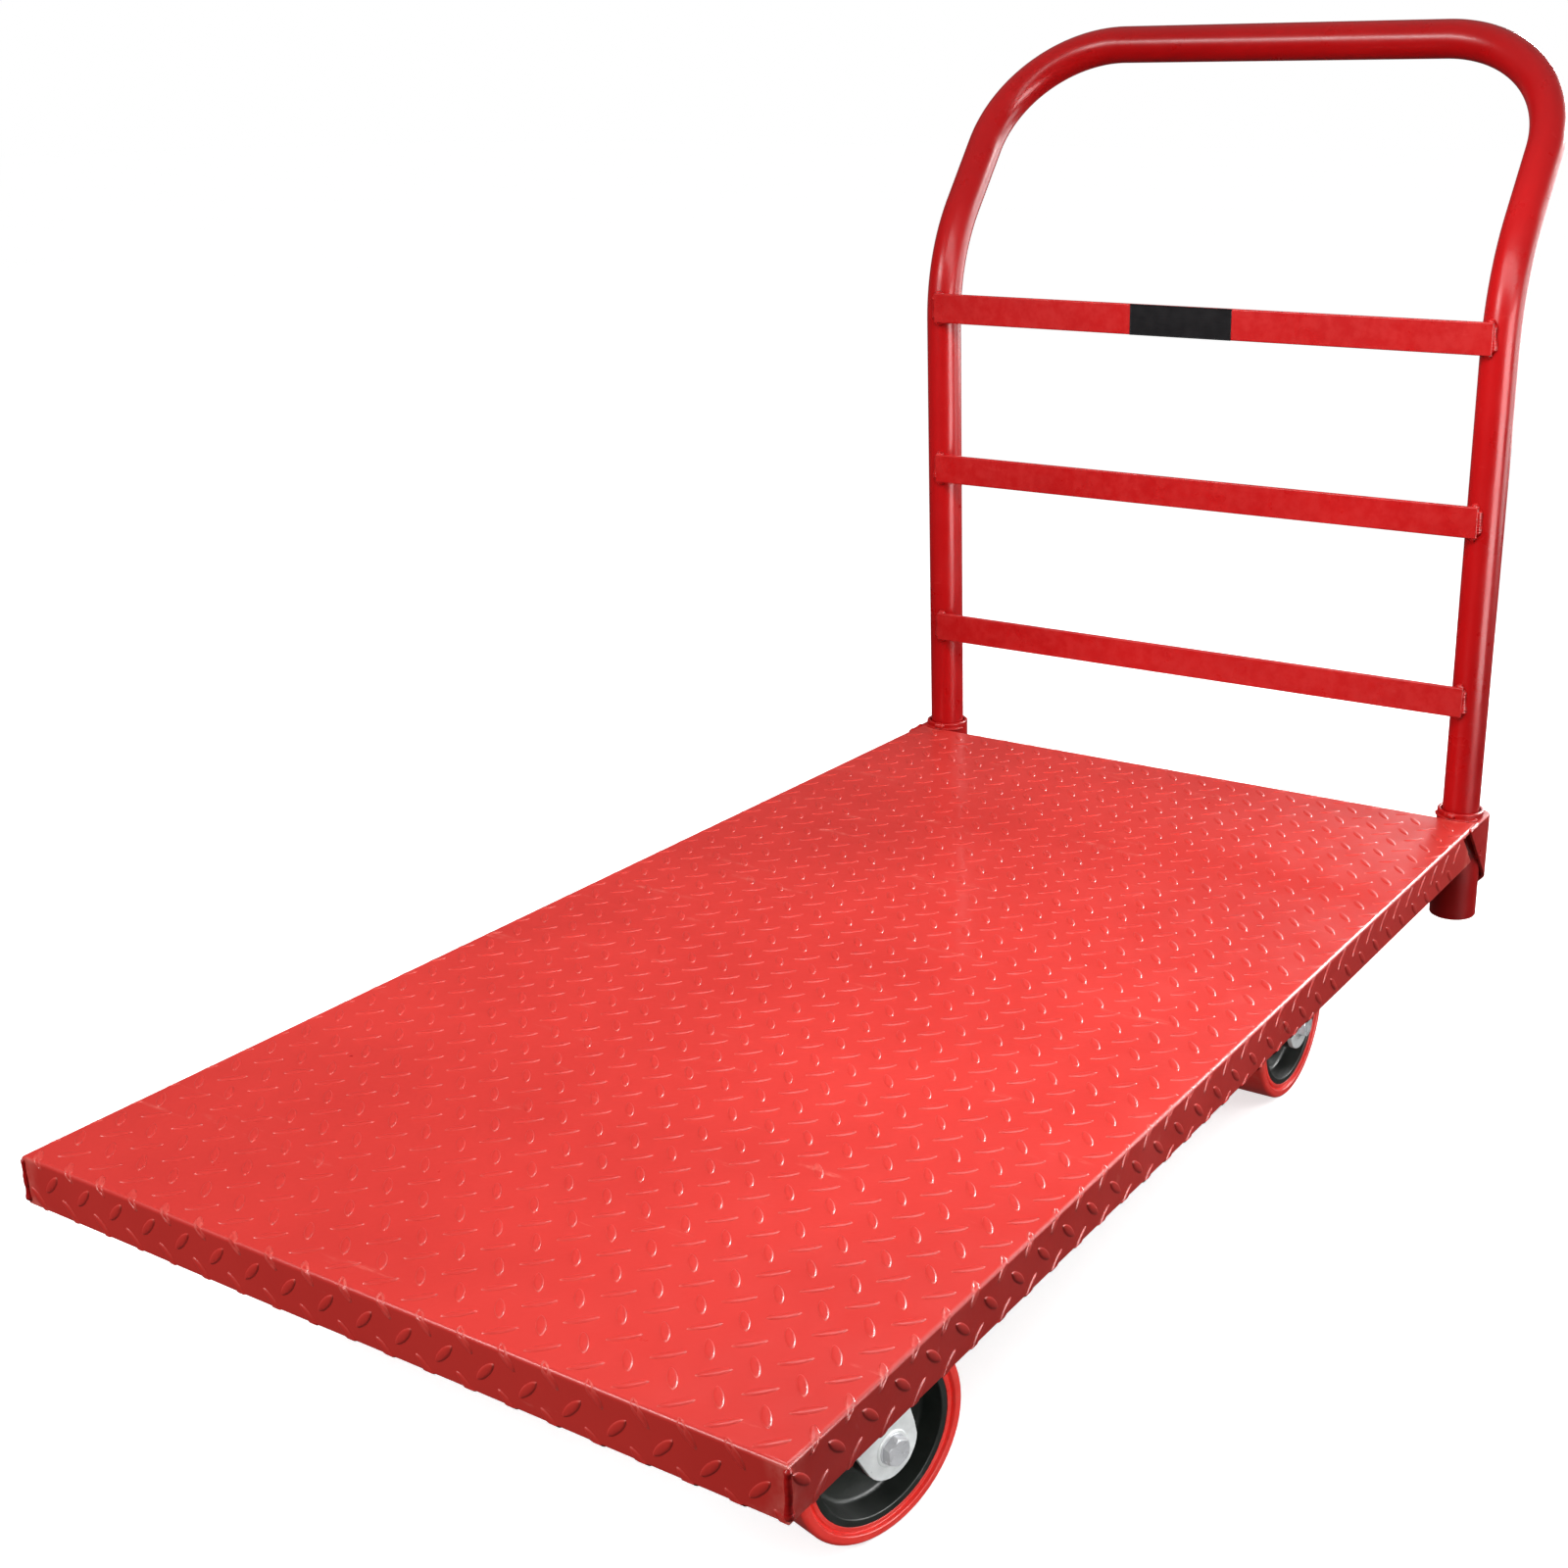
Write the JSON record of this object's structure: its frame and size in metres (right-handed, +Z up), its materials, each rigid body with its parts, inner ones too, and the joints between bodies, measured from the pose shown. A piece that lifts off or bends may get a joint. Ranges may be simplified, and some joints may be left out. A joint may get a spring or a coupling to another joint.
{
  "type": "flatbed platform truck",
  "caption": "Flatbed platform truck: folded tread-plate deck, lift-out tube handle with cross slats, swivel casters at the load end and fixed casters at the handle end.",
  "frame": {"origin": "on the floor, under the centre of the truck's overall box", "axes": "+Z up, +Y from the load end to the handle, +X to the right of someone who stands at the load end and faces the handle"},
  "size_m": [0.6902, 1.4322, 1.0084],
  "materials": {
    "deck_paint": "semi-gloss red enamel over raised tread pattern",
    "frame_paint": "semi-gloss red enamel",
    "handle_paint": "gloss red powder coat",
    "plate_black": "satin black, plain",
    "tread_polyurethane": "satin moulded polyurethane",
    "wheel_core_black": "black enamel on a cast core",
    "caster_zinc": "bright zinc plate",
    "bolt_zinc": "zinc plate",
    "bearing_steel": "greased bearing steel"
  },
  "bodies": {
    "deck_frame": {"deck_plate": "deck_paint", "front_cross_channel": "frame_paint", "middle_cross_channel": "frame_paint", "rear_cross_channel": "frame_paint", "left_handle_socket": "frame_paint", "right_handle_socket": "frame_paint", "left_socket_stop_ring": "frame_paint", "right_socket_stop_ring": "frame_paint", "left_corner_gusset": "frame_paint", "right_corner_gusset": "frame_paint", "front_left_top_plate": "caster_zinc", "front_left_kingpin": "bolt_zinc", "front_left_king_nut": "bolt_zinc", "front_right_top_plate": "caster_zinc", "front_right_kingpin": "bolt_zinc", "front_right_king_nut": "bolt_zinc", "rear_left_top_plate": "caster_zinc", "rear_left_fork": "caster_zinc", "rear_left_axle_bolt": "bolt_zinc", "rear_left_axle_nut": "bolt_zinc", "rear_left_axle_sleeve": "bearing_steel", "rear_right_top_plate": "caster_zinc", "rear_right_fork": "caster_zinc", "rear_right_axle_bolt": "bolt_zinc", "rear_right_axle_nut": "bolt_zinc", "rear_right_axle_sleeve": "bearing_steel", "caster_plate_bolts": "bolt_zinc", "caster_plate_nuts": "bolt_zinc"},
    "push_handle": {"handle_tube": "handle_paint", "lower_slat": "handle_paint", "middle_slat": "handle_paint", "upper_slat": "handle_paint", "name_plate": "plate_black"},
    "front_left_swivel": {"front_left_lower_race": "bearing_steel", "front_left_race_balls": "bearing_steel", "front_left_fork": "caster_zinc", "front_left_axle_bolt": "bolt_zinc", "front_left_axle_nut": "bolt_zinc", "front_left_axle_sleeve": "bearing_steel"},
    "front_right_swivel": {"front_right_lower_race": "bearing_steel", "front_right_race_balls": "bearing_steel", "front_right_fork": "caster_zinc", "front_right_axle_bolt": "bolt_zinc", "front_right_axle_nut": "bolt_zinc", "front_right_axle_sleeve": "bearing_steel"},
    "front_left_wheel": {"front_left_wheel_core": "wheel_core_black", "front_left_tread": "tread_polyurethane", "front_left_hub_rollers": "bearing_steel"},
    "front_right_wheel": {"front_right_wheel_core": "wheel_core_black", "front_right_tread": "tread_polyurethane", "front_right_hub_rollers": "bearing_steel"},
    "rear_left_wheel": {"rear_left_wheel_core": "wheel_core_black", "rear_left_tread": "tread_polyurethane", "rear_left_hub_rollers": "bearing_steel"},
    "rear_right_wheel": {"rear_right_wheel_core": "wheel_core_black", "rear_right_tread": "tread_polyurethane", "rear_right_hub_rollers": "bearing_steel"}
  },
  "joints": [
    {"name": "handle_lift", "type": "slide", "parent": "deck_frame", "child": "push_handle", "axis": [0, 0, 1], "range_m": [0, 0.13]},
    {"name": "front_left_swivel_turn", "type": "hinge", "parent": "deck_frame", "child": "front_left_swivel", "pos_m": [-0.232, -0.54148, 0.178], "axis": [0, 0, 1], "continuous": true},
    {"name": "front_right_swivel_turn", "type": "hinge", "parent": "deck_frame", "child": "front_right_swivel", "pos_m": [0.232, -0.54148, 0.178], "axis": [0, 0, 1], "continuous": true},
    {"name": "front_left_wheel_spin", "type": "hinge", "parent": "front_left_swivel", "child": "front_left_wheel", "pos_m": [-0.232, -0.50048, 0.0762], "axis": [1, 0, 0], "continuous": true},
    {"name": "front_right_wheel_spin", "type": "hinge", "parent": "front_right_swivel", "child": "front_right_wheel", "pos_m": [0.24206, -0.50173, 0.0762], "axis": [0.9694, -0.2453, 0], "continuous": true},
    {"name": "rear_left_wheel_spin", "type": "hinge", "parent": "deck_frame", "child": "rear_left_wheel", "pos_m": [-0.225, 0.25252, 0.0762], "axis": [1, 0, 0], "continuous": true},
    {"name": "rear_right_wheel_spin", "type": "hinge", "parent": "deck_frame", "child": "rear_right_wheel", "pos_m": [0.225, 0.25252, 0.0762], "axis": [1, 0, 0], "continuous": true}
  ]
}
